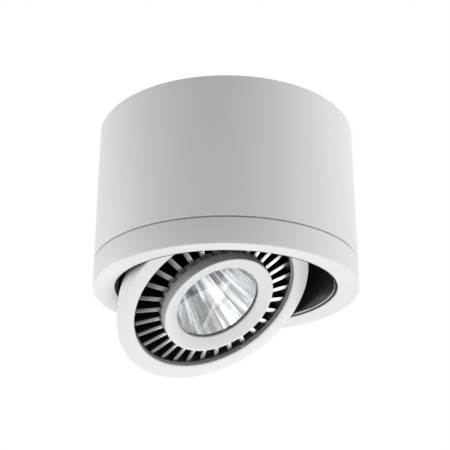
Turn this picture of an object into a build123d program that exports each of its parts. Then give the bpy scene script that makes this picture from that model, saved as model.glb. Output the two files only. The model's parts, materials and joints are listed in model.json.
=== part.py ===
from build123d import *
import os
from math import sqrt

# Surface mounted ceiling spotlight: a round can with a swivelling, tilting eyeball head.
# Millimetres, +Z up. The origin is the centre of the face that lies on the ceiling, so
# the lamp hangs below z = 0. Heights named "..._up" are measured up from the bezel face.
# The head is a ball segment about a virtual pivot that lies below the bezel face: two
# arms with arc slots ride on shoulder screws, so the head swings out without a hinge in
# front of the light.

# ---------------------------------------------------------------- driving dimensions
OUTER_DIAMETER = 150.0
TOTAL_HEIGHT = 97.5
CAN_WALL = 2.5
CAN_EDGE = 0.4

BEZEL_HEIGHT = 14.7
SHADOW_GAP = 1.0
FACE_WIDTH = 12.2
FACE_RECESS = 1.4

PIVOT_DROP = 13.0
BALL_RADIUS = 61.0
TILT_AT_REST = 36.0
TILT_MAX = 40.0
FACING = -45.0

APERTURE_RADIUS = 25.3
FIN_COUNT = 32
FIN_FRONT_WIDTH = 3.0
FIN_REAR_WIDTH = 1.8

SHEET = 2.0
RUN_GAP = 0.5
M3 = 1.5
M3_TAPPED = 1.52
M3_HOLE = 1.6
M25 = 1.25
M25_TAPPED = 1.27
M25_HOLE = 1.35
M4 = 2.0
M4_TAPPED = 2.02
M4_HOLE = 2.15

# ---------------------------------------------------------------- derived dimensions
outer_radius = OUTER_DIAMETER / 2
can_inner = outer_radius - CAN_WALL
hole_radius = outer_radius - FACE_WIDTH
can_bottom_up = BEZEL_HEIGHT + SHADOW_GAP

# bezel ring
collar_outer = hole_radius + 2.4
collar_top_up = 12.0
channel_floor_up = 3.6
spigot_outer = can_inner - 0.1
spigot_inner = spigot_outer - 2.5
spigot_top_up = 24.0
boss_radius = 2.3
boss_circle = spigot_inner - 0.3
boss_top_up = 15.0
boss_tap_depth = 8.0
notch_half_width = 5.2
clip_inner = 65.2
clip_outer = 72.0
clip_half_width = 4.5
clip_thickness = 1.2
KEEPER_AZIMUTHS = (0, 120, 240)
STOP_AZIMUTH = 90

# swivel ring, which turns inside the bezel's collar
liner_outer = hole_radius - RUN_GAP
liner_inner = liner_outer - 1.5
liner_bottom_up = FACE_RECESS + 0.3
liner_top_up = 36.0
lip_height = 2.0
lip_chamfer = 0.9
washer_height = 0.5
flange_bottom_up = collar_top_up + washer_height + 0.1
flange_height = 1.8
flange_outer = 67.0
carrier_bottom_up = liner_top_up - SHEET
carrier_inner = 55.5
carrier_spigot = 1.5
stop_tab_width = 5.0
stop_tab_outer = liner_outer + 2.3
stop_tab_top_up = 19.0

# tilt mechanism, measured from the virtual pivot
slot_radius = 56.0
slot_half_width = 2.08
pin_radius = 2.0
arm_near = 36.0
arm_far = arm_near + SHEET
arm_width = 9.0
bracket_near = arm_far + 1.5
bracket_far = bracket_near + SHEET
bracket_top_up = 48.3
foot_reach = 60.0
bracket_screw_side = 9.0
bracket_screw_reach = 57.3

# head, measured back from the virtual pivot along the head's axis
ring_face = PIVOT_DROP
ring_bore = 49.0
ring_bore_round = 1.6
ring_skirt_wall = 1.4
ring_skirt_back = 19.5
ring_outer_round = 0.6
ring_flange = 2.2
ring_wall = 2.1
ring_back = 37.0
rim_front = 19.8
rim_front_outer = 47.9
rim_back = 36.5
rim_back_outer = 45.4
rim_wall = 1.3
fin_front_inner = ring_face + 0.45
fin_front_outer = ring_face + 2.3
fin_outer = ring_bore - 0.6
fin_back = 54.0
fin_ball = BALL_RADIUS - 1.5
core_outer = 31.8
core_front = 15.4
core_taper_start = 30.0
cavity_radius = 27.0
cavity_floor = 42.7
hub_radius = 18.0
lens_ring_outer = 33.6
lens_ring_front = ring_face - 5.0
lens_ring_back = 17.5
lens_radius = 26.2
seal_front = 11.2
lens_front = seal_front + 0.5
lens_thickness = 1.8
reflector_front = lens_front + lens_thickness
reflector_back = 38.5
reflector_wall = 0.8
neck_radius = 9.6
holder_top = 40.9
substrate_front = 41.0
substrate_back = 42.2

# driver compartment above the head
shelf_bottom_up = 48.6
shelf_top_up = 50.6
shelf_inner = 65.0
lug_half_width = 6.0
lug_drop = 9.0
partition_top_up = shelf_top_up + 1.5
plate_thickness = 1.5
plate_radius = can_inner - 0.5
side_bracket_foot = 12.0
side_bracket_half_width = 7.0
side_bracket_drop = 14.5
SLOT_SPACING = 80.0
SLOT_LENGTH = 12.0
SLOT_HALF_WIDTH = 2.25
SIDE_SCREW_DROP = 9.0
CABLE_BORE = 5.0
driver_length = 96.0
driver_width = 42.0
driver_base_height = 18.0
driver_lid_height = 5.0
driver_wall = 1.8
driver_corner = 3.0
driver_foot = 8.5
driver_foot_height = 2.5
driver_shift = -8.0
driver_foot_hole = 5.0
driver_screw_places = [(side * (driver_length / 2 + driver_foot_hole), driver_shift) for side in (-1, 1)]
terminal_place = (0.0, 36.0)
pole_pitch = 9.5
clamp_seat = 11.5
clamp_shank = 3.4
fixing_seat = 8.0
earth_place = (-34.0, 36.0)
lead_place = (0.0, -45.0)
lead_hole_radius = 4.5
cable_hole_radius = 9.0
shelf_screw_circle = 69.0
SHELF_AZIMUTHS = (60, 180, 300)

# screws inside the head
RING_SCREW_AZIMUTHS = (0, 120, 240)
ring_screw_circle = 51.0
ring_boss_radius = 2.1
ring_boss_back = 20.0
lug_thickness = 2.0
flat_start = 38.0
flat_half_length = 30.0
pad_half_width = 8.0
pad_inner = 24.0
pad_start = 38.2
pad_end = 50.0
arm_screw_depth = 43.5
arm_screw_spread = 4.5
holder_screw_spread = 16.0

pivot_z = -TOTAL_HEIGHT - PIVOT_DROP
swivel_frame = Rotation(0, 0, FACING)
head_frame = Pos(0, 0, pivot_z) * Rotation(0, 0, FACING) * Rotation(0, -TILT_AT_REST, 0)


# ---------------------------------------------------------------- shared shapes
def up(height):
    """World z of a height measured up from the bezel face."""
    return height - TOTAL_HEIGHT


def turned(points):
    """Solid of revolution about Z from (radius, z) corners."""
    outline = Polyline(*[(radius, 0, z) for radius, z in points], close=True)
    return revolve(make_face(outline), Axis.Z)


def tube(outer, inner, low, high):
    """Plain ring between two heights."""
    return turned([(inner, low), (outer, low), (outer, high), (inner, high)])


def rod(radius, low, high):
    """Upright cylinder between two heights."""
    return Pos(0, 0, (low + high) / 2) * Cylinder(radius, high - low)


def block(x_span, y_span, z_span):
    """Box given by its low and high limits on each axis."""
    spans = (x_span, y_span, z_span)
    sizes = [high - low for low, high in spans]
    middle = [(high + low) / 2 for low, high in spans]
    return Pos(*middle) * Box(*sizes)


def on_circle(shape, radius, azimuth, height=0.0):
    """Copy of a shape moved out along X and then turned to an azimuth."""
    return Rotation(0, 0, azimuth) * Pos(radius, 0, height) * shape


def pan_screw(shank, head, head_height, length):
    """Screw seen from its seat: head above z = 0, shank below."""
    return turned(
        [
            (0, -length),
            (shank, -length),
            (shank, 0),
            (head, 0),
            (head, head_height),
            (0, head_height),
        ]
    )


def side_plate(face, near, far):
    """Sheet between two distances along the tilt axis, from a face drawn in XZ."""
    return Pos(0, far, 0) * extrude(Plane.XZ * face, far - near)


def both_sides(shape):
    """The shape and its mirror image across the head's own middle plane."""
    return [shape, mirror(shape, Plane.XZ)]


def ball_edge(ball_radius, depth):
    """Radius at which a ball about the pivot crosses a plane across the head's axis."""
    return sqrt(ball_radius**2 - depth**2)


# ---------------------------------------------------------------- fixed body
def housing_can():
    """Turned can, open at both ends, with a screw hole on each side."""
    low = up(can_bottom_up)
    can = turned(
        [
            (can_inner, low),
            (outer_radius - CAN_EDGE, low),
            (outer_radius, low + CAN_EDGE),
            (outer_radius, -CAN_EDGE),
            (outer_radius - CAN_EDGE, 0),
            (can_inner, 0),
        ]
    )
    side_bore = Rotation(0, 90, 0) * Cylinder(M4_HOLE, 2 * OUTER_DIAMETER)
    return can - Pos(0, 0, -SIDE_SCREW_DROP) * side_bore


def shelf_lugs():
    """Three pressed angles, spot-welded inside the can, that carry the partition."""
    leg_inner = can_inner - SHEET
    leg_foot_up = shelf_bottom_up - lug_drop
    angle = turned(
        [
            (shelf_inner, up(shelf_bottom_up)),
            (leg_inner, up(shelf_bottom_up)),
            (leg_inner, up(leg_foot_up)),
            (can_inner, up(leg_foot_up)),
            (can_inner, up(shelf_top_up)),
            (shelf_inner, up(shelf_top_up)),
        ]
    )
    lug = angle & block((0, outer_radius), (-lug_half_width, lug_half_width), (up(0), 0))
    lug -= Pos(shelf_screw_circle, 0, 0) * rod(M3_TAPPED, up(shelf_bottom_up) - 1, up(shelf_top_up) + 1)
    return [on_circle(lug, 0, azimuth) for azimuth in SHELF_AZIMUTHS]


def bezel_ring():
    """Cast ring below the shadow groove: sloping face, collar, channel and spigot."""
    edge = 0.5
    top_edge = 0.3
    ring = turned(
        [
            (hole_radius, up(FACE_RECESS)),
            (outer_radius - edge, up(edge * FACE_RECESS / FACE_WIDTH)),
            (outer_radius, up(edge)),
            (outer_radius, up(BEZEL_HEIGHT - top_edge)),
            (outer_radius - top_edge, up(BEZEL_HEIGHT)),
            (spigot_outer, up(BEZEL_HEIGHT)),
            (spigot_outer, up(spigot_top_up)),
            (spigot_inner, up(spigot_top_up)),
            (spigot_inner, up(channel_floor_up)),
            (collar_outer, up(channel_floor_up)),
            (collar_outer, up(collar_top_up)),
            (hole_radius, up(collar_top_up)),
        ]
    )
    boss = rod(boss_radius, up(channel_floor_up) - 0.5, up(boss_top_up))
    tapped = rod(M25_TAPPED, up(boss_top_up - boss_tap_depth), up(boss_top_up) + 1)
    notch = block(
        (clip_inner, outer_radius),
        (-notch_half_width, notch_half_width),
        (up(boss_top_up), up(spigot_top_up) + 1),
    )
    for azimuth in (*KEEPER_AZIMUTHS, STOP_AZIMUTH):
        ring += on_circle(boss, boss_circle, azimuth)
        ring -= on_circle(notch, 0, azimuth)
        ring -= on_circle(tapped, boss_circle, azimuth)
    return ring


def slide_washer():
    """Low-friction ring between the bezel's collar and the swivel ring's flange."""
    return tube(collar_outer - 0.1, hole_radius + 0.05, up(collar_top_up), up(collar_top_up + washer_height))


def keeper_clip():
    """Small pressed clip that holds the swivel flange down."""
    corner = 1.2
    plate = block((clip_inner, clip_outer), (-clip_half_width, clip_half_width), (0, clip_thickness))
    plate = fillet(plate.edges().filter_by(Axis.Z), corner)
    return plate - Pos(boss_circle, 0, 0) * rod(M25_HOLE, -1, clip_thickness + 1)


def stop_clip():
    """Keeper with a longer finger, which ends the swivel's turn."""
    finger_half_width, finger_height, finger_root = 2.5, 2.4, 67.0
    plate = block((clip_inner, clip_outer), (-clip_half_width, clip_half_width), (0, clip_thickness))
    finger_width = (-finger_half_width, finger_half_width)
    plate += block((hole_radius + 0.1, finger_root), finger_width, (0, finger_height))
    return plate - Pos(boss_circle, 0, 0) * rod(M25_HOLE, -1, clip_thickness + 1)


def keeper_screws():
    """Four M2.5 screws that hold the clips on the bezel's bosses."""
    screw = pan_screw(M25, head=2.2, head_height=1.5, length=6.0)
    seat = up(boss_top_up) + clip_thickness
    return [on_circle(screw, boss_circle, azimuth, seat) for azimuth in (*KEEPER_AZIMUTHS, STOP_AZIMUTH)]


def partition_plate():
    """Steel disc that closes the driver compartment above the head."""
    low, high = up(shelf_top_up), up(partition_top_up)
    plate = rod(can_inner - 0.2, low, high)
    for azimuth in SHELF_AZIMUTHS:
        plate -= on_circle(rod(M3_HOLE, low - 1, high + 1), shelf_screw_circle, azimuth)
    for x, y in (*driver_screw_places, terminal_place, earth_place):
        plate -= Pos(x, y, 0) * rod(M3_TAPPED, low - 1, high + 1)
    plate -= Pos(*lead_place, 0) * rod(lead_hole_radius, low - 1, high + 1)
    return plate


def partition_screws():
    """Three M3 screws through the partition into the can's shelf."""
    screw = pan_screw(M3, head=2.7, head_height=1.8, length=3.2)
    return [on_circle(screw, shelf_screw_circle, azimuth, up(partition_top_up)) for azimuth in SHELF_AZIMUTHS]


def lead_grommet():
    """Rubber bush in the partition's hole for the lamp lead, with a lip on each side."""
    low, high = up(shelf_top_up), up(partition_top_up)
    bore, lip, lip_height_each = 3.0, lead_hole_radius + 1.8, 1.5
    bush = turned(
        [
            (bore, low - lip_height_each),
            (lip, low - lip_height_each),
            (lip, low),
            (lead_hole_radius, low),
            (lead_hole_radius, high),
            (lip, high),
            (lip - 0.6, high + lip_height_each),
            (bore, high + lip_height_each),
        ]
    )
    return Pos(*lead_place, 0) * bush


def driver_base():
    """Moulded tray of the LED driver with a screw foot at each end."""
    low = up(partition_top_up)
    half_length, half_width = driver_length / 2, driver_width / 2
    foot_half_width = 4.5
    wire_height, supply_radius, lamp_radius = 10.0, 3.2, 2.6
    tray = block((-half_length, half_length), (-half_width, half_width), (low, low + driver_base_height))
    tray = fillet(tray.edges().filter_by(Axis.Z), driver_corner)
    tray -= block(
        (driver_wall - half_length, half_length - driver_wall),
        (driver_wall - half_width, half_width - driver_wall),
        (low + driver_wall, low + driver_base_height + 1),
    )
    for side in (-1, 1):
        foot_span = sorted((side * half_length, side * (half_length + driver_foot)))
        tray += block(foot_span, (-foot_half_width, foot_half_width), (low, low + driver_foot_height))
        foot_hole = rod(M3_HOLE, low - 1, low + 2 * driver_foot_height)
        tray -= Pos(side * (half_length + driver_foot_hole), 0, 0) * foot_hole
    for end, wire_radius in ((half_length, lamp_radius), (-half_length, supply_radius)):
        tray -= Pos(end, 0, low + wire_height) * Rotation(0, 90, 0) * Cylinder(wire_radius, 4 * driver_wall)
    return Pos(0, driver_shift, 0) * tray


def driver_lid():
    """Lid of the driver: a shallow hollow cap with a skirt that drops inside the tray."""
    low = up(partition_top_up) + driver_base_height
    half_length, half_width = driver_length / 2, driver_width / 2
    skirt_wall, skirt_drop, skirt_gap, edge = 1.2, 2.0, 0.2, 1.0
    outer_length, outer_width = half_length - driver_wall - skirt_gap, half_width - driver_wall - skirt_gap
    inner_length, inner_width = outer_length - skirt_wall, outer_width - skirt_wall
    cap = block((-half_length, half_length), (-half_width, half_width), (low, low + driver_lid_height))
    cap = fillet(cap.edges().filter_by(Axis.Z), driver_corner)
    cap = chamfer(cap.faces().sort_by(Axis.Z)[-1].edges(), edge)
    cap += block((-outer_length, outer_length), (-outer_width, outer_width), (low - skirt_drop, low))
    hollow_top = low + driver_lid_height - driver_wall
    cap -= block((-inner_length, inner_length), (-inner_width, inner_width), (low - skirt_drop, hollow_top))
    return Pos(0, driver_shift, 0) * cap


def driver_screws():
    """Two M3 screws that hold the driver's feet on the partition."""
    screw = pan_screw(M3, head=2.7, head_height=1.8, length=3.9)
    seat = up(partition_top_up) + driver_foot_height
    return [Pos(x, y, seat) * screw for x, y in driver_screw_places]


def terminal_block():
    """Three-pole supply terminal with a wire entry and a screw well for each pole."""
    low = up(partition_top_up)
    base_height, top_height, wire_height = 11.0, 15.0, 6.0
    base_half_length, base_half_width = 15.0, 7.0
    top_half_length, top_half_width = 14.5, 4.5
    entry_radius, well_radius, fixing_well_radius = 1.9, 1.9, 2.8
    length, width = (-base_half_length, base_half_length), (-base_half_width, base_half_width)
    body = block(length, width, (low, low + base_height))
    length, width = (-top_half_length, top_half_length), (-top_half_width, top_half_width)
    body += block(length, width, (low + base_height - 1, low + top_height))
    for pole in (-pole_pitch, 0, pole_pitch):
        entry = Rotation(90, 0, 0) * Cylinder(entry_radius, 3 * base_half_width)
        body -= Pos(pole, 0, low + wire_height) * entry
    for pole in (-pole_pitch, pole_pitch):
        body -= Pos(pole, 0, 0) * rod(well_radius, low + clamp_seat - clamp_shank, low + top_height + 1)
    body -= rod(fixing_well_radius, low + fixing_seat, low + top_height + 1)
    body -= rod(M3_HOLE, low - 1, low + fixing_seat + 1)
    return Pos(*terminal_place, 0) * body


def terminal_screws():
    """Clamp screws of the outer poles and the fixing screw in the middle."""
    low = up(partition_top_up)
    clamp = pan_screw(1.2, head=1.8, head_height=1.2, length=clamp_shank)
    clamp = Pos(0, 0, low + clamp_seat) * clamp
    fixing = pan_screw(M3, head=2.6, head_height=1.6, length=fixing_seat + plate_thickness)
    fixing = Pos(0, 0, low + fixing_seat) * fixing
    screws = [Pos(-pole_pitch, 0, 0) * clamp, Pos(pole_pitch, 0, 0) * clamp, fixing]
    return [Pos(*terminal_place, 0) * screw for screw in screws]


def earth_screw():
    """Earth screw with its cupped washer on the partition."""
    washer_radius, washer_thickness = 4.0, 0.8
    washer = rod(washer_radius, 0, washer_thickness)
    screw = pan_screw(M3, head=2.7, head_height=1.8, length=washer_thickness + plate_thickness - 0.1)
    return Pos(*earth_place, up(partition_top_up)) * (washer + Pos(0, 0, washer_thickness) * screw)


def ceiling_plate():
    """Steel disc for the ceiling, with two screw slots and a cable hole."""
    plate = rod(plate_radius, -plate_thickness, 0)
    slot = extrude(SlotOverall(SLOT_LENGTH, 2 * SLOT_HALF_WIDTH), 2 * plate_thickness, both=True)
    for x in (-SLOT_SPACING / 2, SLOT_SPACING / 2):
        plate -= Pos(x, 0, 0) * slot
    return plate - rod(cable_hole_radius, -2 * plate_thickness, plate_thickness)


def side_brackets():
    """Two pressed angles, welded under the ceiling plate and tapped for the side screws."""
    top = -plate_thickness
    foot_inner = plate_radius - side_bracket_foot
    leg_inner = plate_radius - SHEET
    angle = turned(
        [
            (foot_inner, top - SHEET),
            (leg_inner, top - SHEET),
            (leg_inner, top - side_bracket_drop),
            (plate_radius, top - side_bracket_drop),
            (plate_radius, top),
            (foot_inner, top),
        ]
    )
    width = (-side_bracket_half_width, side_bracket_half_width)
    bracket = angle & block((0, outer_radius), width, (top - side_bracket_drop, top))
    bracket -= Pos(plate_radius, 0, -SIDE_SCREW_DROP) * Rotation(0, 90, 0) * Cylinder(M4_TAPPED, 4 * SHEET)
    return [bracket, Rotation(0, 0, 180) * bracket]


def side_screws():
    """Two M4 set screws that clamp the can to the brackets, with hexagon sockets."""
    length, sunk = 7.5, 0.3
    socket_radius, socket_depth = 1.2, 2.0
    screw = rod(M4, -length, 0) - extrude(RegularPolygon(socket_radius, 6), -socket_depth)
    seat = Pos(outer_radius - sunk, 0, -SIDE_SCREW_DROP) * Rotation(0, 90, 0) * screw
    return [seat, Rotation(0, 0, 180) * seat]


def cable_grommet():
    """Rubber bush in the ceiling plate's cable hole, flush with the ceiling side."""
    lip, lip_thickness, nozzle = 2.5, 2.0, 1.0
    return turned(
        [
            (CABLE_BORE, 0),
            (cable_hole_radius, 0),
            (cable_hole_radius, -plate_thickness),
            (cable_hole_radius + lip, -plate_thickness),
            (cable_hole_radius + lip - 1.0, -plate_thickness - lip_thickness),
            (CABLE_BORE + nozzle, -plate_thickness - lip_thickness),
            (CABLE_BORE, -plate_thickness - lip_thickness - nozzle),
        ]
    )


# ---------------------------------------------------------------- swivelling body
def swivel_ring():
    """Black liner with a bright-turned lower lip, a running flange and the stop's tab."""
    edge = 0.3
    flange_top = up(flange_bottom_up) + flange_height
    ring = turned(
        [
            (liner_outer - edge, up(liner_bottom_up)),
            (liner_outer, up(liner_bottom_up) + edge),
            (liner_outer, up(flange_bottom_up)),
            (flange_outer, up(flange_bottom_up)),
            (flange_outer, flange_top),
            (liner_outer, flange_top),
            (liner_outer, up(carrier_bottom_up)),
            (liner_inner, up(carrier_bottom_up)),
            (liner_inner, up(liner_bottom_up + lip_height)),
            (liner_inner + lip_chamfer, up(liner_bottom_up)),
        ]
    )
    tab_width = (-stop_tab_width / 2, stop_tab_width / 2)
    tab = block((liner_outer - 0.5, stop_tab_outer), tab_width, (flange_top - 0.8, up(stop_tab_top_up)))
    return ring + Rotation(0, 0, STOP_AZIMUTH + 180) * tab


def carrier_ring():
    """Flat ring pressed on the liner's top edge, which carries the tilt brackets."""
    low, high = up(carrier_bottom_up), up(liner_top_up)
    spigot_fit = liner_inner - 0.05
    ring = turned(
        [
            (carrier_inner, low),
            (liner_inner - carrier_spigot, low),
            (liner_inner - carrier_spigot, low - SHEET),
            (spigot_fit, low - SHEET),
            (spigot_fit, low),
            (liner_outer, low),
            (liner_outer, high),
            (carrier_inner, high),
        ]
    )
    for x, y in bracket_screw_places():
        ring -= Pos(x, y, 0) * rod(M3_TAPPED, low - 1, high + 1)
    return ring


def bracket_screw_places():
    """World places of the four screws that hold the hinge brackets."""
    places = []
    for x in (-bracket_screw_side, bracket_screw_side):
        for y in (-bracket_screw_reach, bracket_screw_reach):
            corner = swivel_frame * Pos(x, y, 0)
            places.append((corner.position.X, corner.position.Y))
    return places


def hinge_bracket():
    """Pressed angle on the swivel ring: a foot on the flange and a leg for the pin."""
    foot_low = up(liner_top_up)
    leg_top = up(bracket_top_up)
    bend = 2.8
    foot_half_length, leg_half_width = 12.0, 7.0
    outline = Polyline(
        (bracket_near, foot_low),
        (foot_reach, foot_low),
        (foot_reach, foot_low + SHEET),
        (bracket_far, foot_low + SHEET),
        (bracket_far, leg_top),
        (bracket_near, leg_top),
        close=True,
    )
    profile = make_face(outline)
    profile = fillet(profile.vertices().sort_by_distance((bracket_near, foot_low))[0], bend)
    profile = fillet(profile.vertices().sort_by_distance((bracket_far, foot_low + SHEET))[0], bend - SHEET)
    angle = extrude(Plane.YZ * profile, foot_half_length, both=True)
    for side in (-1, 1):
        beside_leg = sorted((side * leg_half_width, side * (foot_half_length + 1)))
        through_leg = (bracket_near - 1, bracket_far + 0.01)
        angle -= block(beside_leg, through_leg, (foot_low + bend + 0.5, leg_top + 1))
    pin_height = pivot_z + slot_radius
    angle -= Pos(0, bracket_near, pin_height) * Rotation(90, 0, 0) * Cylinder(M3_TAPPED, 6 * SHEET)
    for x in (-bracket_screw_side, bracket_screw_side):
        angle -= Pos(x, bracket_screw_reach, 0) * rod(M3_HOLE, foot_low - 1, foot_low + 2 * SHEET)
    return angle


def bracket_screws():
    """Four M3 screws through the brackets' feet into the swivel ring."""
    screw = pan_screw(M3, head=2.6, head_height=1.8, length=3.8)
    return [Pos(x, y, up(liner_top_up) + SHEET) * screw for x, y in bracket_screw_places()]


def at_pin(shape):
    """A shape drawn along Z moved to the pin, where Z points out along the tilt axis."""
    return Pos(0, 0, pivot_z + slot_radius) * Rotation(-90, 0, 0) * shape


def tilt_pin():
    """Shoulder screw in the arc slot: flat head inside, shoulder, thread through the leg."""
    head_radius, head_thickness, head_edge = 4.4, 2.2, 0.6
    head_face = arm_near - 0.15
    head_back = head_face - head_thickness
    shoulder_end = bracket_near - 0.02
    thread_end = bracket_far + 3.4
    profile = [
        (0, head_back),
        (head_radius - head_edge, head_back),
        (head_radius, head_back + head_edge),
        (head_radius, head_face),
        (pin_radius, head_face),
        (pin_radius, shoulder_end),
        (M3, shoulder_end),
        (M3, thread_end),
        (0, thread_end),
    ]
    return at_pin(turned(profile))


def friction_washer():
    """Sprung washer between the arm and the bracket's leg."""
    washer_radius = 4.5
    return at_pin(tube(washer_radius, pin_radius + 0.02, arm_far + 0.1, bracket_near - 0.02))


def lock_nut():
    """Hexagon lock nut outside the bracket's leg."""
    corner_radius, thickness = 3.1, 2.6
    nut = extrude(RegularPolygon(corner_radius, 6), thickness) - rod(M3_TAPPED, -1, thickness + 1)
    return at_pin(Pos(0, 0, bracket_far + 0.02) * nut)


# ---------------------------------------------------------------- tilting head
def head_ring():
    """White ball-shaped ring: flat face, thin spherical wall, inner skirt, screw bosses."""
    inner_ball = BALL_RADIUS - ring_wall
    inner_front = ring_face + ring_flange
    ball_start = ring_face + ring_outer_round
    mid_depth = (ring_face + ring_back) / 2
    front_radius = ball_edge(BALL_RADIUS, ball_start)
    bore_start = (ring_bore, ring_face + ring_bore_round)
    face_inner = (ring_bore + ring_bore_round, ring_face)
    face_outer = (front_radius - ring_outer_round, ring_face)
    inner_start = (ball_edge(inner_ball, inner_front), inner_front)
    inner_end = (ball_edge(inner_ball, ring_back), ring_back)
    outer_end = (ball_edge(BALL_RADIUS, ring_back), ring_back)
    skirt_outer = ring_bore + ring_skirt_wall
    outline = (
        RadiusArc(bore_start, face_inner, -ring_bore_round)
        + Line(face_inner, face_outer)
        + RadiusArc(face_outer, (front_radius, ball_start), -ring_outer_round)
        + ThreePointArc((front_radius, ball_start), (ball_edge(BALL_RADIUS, mid_depth), mid_depth), outer_end)
        + Line(outer_end, inner_end)
        + ThreePointArc(inner_end, (ball_edge(inner_ball, mid_depth), mid_depth), inner_start)
        + Line(inner_start, (skirt_outer, inner_front))
        + Line((skirt_outer, inner_front), (skirt_outer, ring_skirt_back))
        + Line((skirt_outer, ring_skirt_back), (ring_bore, ring_skirt_back))
        + Line((ring_bore, ring_skirt_back), bore_start)
    )
    ring = revolve(Plane.XZ * make_face(outline), Axis.Z)
    boss = rod(ring_boss_radius, inner_front - 0.5, ring_boss_back)
    tapped = rod(M25_TAPPED, inner_front + 0.3, ring_boss_back + 1)
    for azimuth in RING_SCREW_AZIMUTHS:
        ring += on_circle(boss, ring_screw_circle, azimuth)
        ring -= on_circle(tapped, ring_screw_circle, azimuth)
    return ring - rod(ring_bore, inner_front, ring_boss_back + 1)


def heat_sink_core():
    """Turned body of the heat sink: a cup for the reflector on a solid hub."""
    front_edge, hub_edge, recess_radius, recess_depth = 1.0, 1.0, 7.0, 3.0
    return turned(
        [
            (cavity_radius, core_front),
            (core_outer - front_edge, core_front),
            (core_outer, core_front + front_edge),
            (core_outer, core_taper_start),
            (cavity_radius + 0.5, cavity_floor + 2.0),
            (hub_radius + 3.0, cavity_floor + 6.0),
            (hub_radius, fin_back - hub_edge),
            (hub_radius - hub_edge, fin_back),
            (recess_radius, fin_back),
            (recess_radius - 1.0, fin_back - recess_depth),
            (0, fin_back - recess_depth),
            (0, cavity_floor),
            (cavity_radius, cavity_floor),
        ]
    )


def heat_sink_rim():
    """Thin coned rim that joins the fins' outer ends."""
    return turned(
        [
            (rim_front_outer - rim_wall, rim_front),
            (rim_front_outer, rim_front),
            (rim_back_outer, rim_back),
            (rim_back_outer - rim_wall, rim_back),
        ]
    )


def heat_sink_fin():
    """One radial fin, crowned at the front, curved at the rear and thinner there."""
    fin_inner = lens_ring_outer + 0.3
    core_inside = core_outer - 1.0
    bend_depths = (42.0, 48.0, 52.0)
    outline = Polyline(
        (fin_inner, fin_front_inner),
        (fin_outer, fin_front_outer),
        (fin_outer, rim_front),
        (rim_back_outer - 0.5 * rim_wall, rim_back),
        *[(ball_edge(fin_ball, depth), depth) for depth in bend_depths],
        (ball_edge(fin_ball, bend_depths[-1]) - 3.0, fin_back),
        (hub_radius - 0.5, fin_back),
        (hub_radius - 0.5, cavity_floor + 5.0),
        (cavity_radius + 0.4, cavity_floor),
        (core_inside, core_taper_start),
        (core_inside, lens_ring_back + 0.3),
        (fin_inner, lens_ring_back + 0.3),
        close=True,
    )
    taper = Polyline(
        (-FIN_FRONT_WIDTH / 2, fin_front_inner),
        (FIN_FRONT_WIDTH / 2, fin_front_inner),
        (FIN_REAR_WIDTH / 2, fin_back),
        (-FIN_REAR_WIDTH / 2, fin_back),
        close=True,
    )
    fin = extrude(Plane.XZ * make_face(outline), FIN_FRONT_WIDTH, both=True)
    return fin & extrude(Plane.YZ * make_face(taper), BALL_RADIUS)


def heat_sink():
    """Cast heat sink: cup, tapered radial fins, outer rim, pads for the arms, screw lugs."""
    fin = heat_sink_fin()
    fins = [Rotation(0, 0, (n + 0.5) * 360 / FIN_COUNT) * fin for n in range(FIN_COUNT)]
    sink = heat_sink_core().fuse(heat_sink_rim(), *fins)
    flat = block((-flat_half_length, flat_half_length), (arm_near, BALL_RADIUS), (flat_start, fin_back + 1))
    pad = block((-pad_half_width, pad_half_width), (pad_inner, arm_near), (pad_start, pad_end))
    for flat_side, pad_side in zip(both_sides(flat), both_sides(pad)):
        sink -= flat_side
        sink += pad_side
    arm_tapping = Cylinder(M3_TAPPED, 90) - Cylinder(M3 + 0.5, 58)
    for x in (-arm_screw_spread, arm_screw_spread):
        sink -= Pos(x, 0, arm_screw_depth) * Rotation(90, 0, 0) * arm_tapping
    lug_back = ring_boss_back + lug_thickness
    lug = block((-5.0, 1.6), (-3.0, 3.0), (ring_boss_back, lug_back))
    lug_hole = rod(M25_HOLE, ring_boss_back - 1, lug_back + 1)
    for azimuth in RING_SCREW_AZIMUTHS:
        sink += on_circle(lug, ring_screw_circle, azimuth)
        sink -= on_circle(lug_hole, ring_screw_circle, azimuth)
    holder_tapping = rod(M25_TAPPED, cavity_floor - 1, cavity_floor + 4)
    for x in (-holder_screw_spread, holder_screw_spread):
        sink -= Pos(x, 0, 0) * holder_tapping
    return sink


def ring_screws():
    """Three M2.5 screws through the heat sink's lugs into the white ring's bosses."""
    screw = pan_screw(M25, head=2.1, head_height=1.4, length=6.5)
    seat = ring_boss_back + lug_thickness
    return [on_circle(screw, ring_screw_circle, azimuth, seat) for azimuth in RING_SCREW_AZIMUTHS]


def lens_ring():
    """White inner ring: funnel towards the glass, skirt over the heat sink's cup."""
    wall, lip, edge, fit = 1.4, 0.6, 0.5, 0.1
    return turned(
        [
            (APERTURE_RADIUS, seal_front - lip),
            (lens_ring_outer - wall, lens_ring_front),
            (lens_ring_outer - edge, lens_ring_front),
            (lens_ring_outer, lens_ring_front + edge),
            (lens_ring_outer, lens_ring_back),
            (core_outer + fit, lens_ring_back),
            (core_outer + fit, core_front - fit),
            (lens_radius + 2 * fit, core_front - fit),
            (lens_radius + 2 * fit, seal_front),
            (APERTURE_RADIUS, seal_front),
        ]
    )


def lens_seal():
    """Black rubber ring in front of the glass, seen as a thin dark line."""
    return tube(lens_radius, APERTURE_RADIUS - 0.2, seal_front, lens_front)


def lens():
    """Clear glass disc with a small bevel."""
    back = lens_front + lens_thickness
    bevel = 0.3
    return turned(
        [
            (0, lens_front),
            (lens_radius - bevel, lens_front),
            (lens_radius, lens_front + bevel),
            (lens_radius, back),
            (0, back),
        ]
    )


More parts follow.
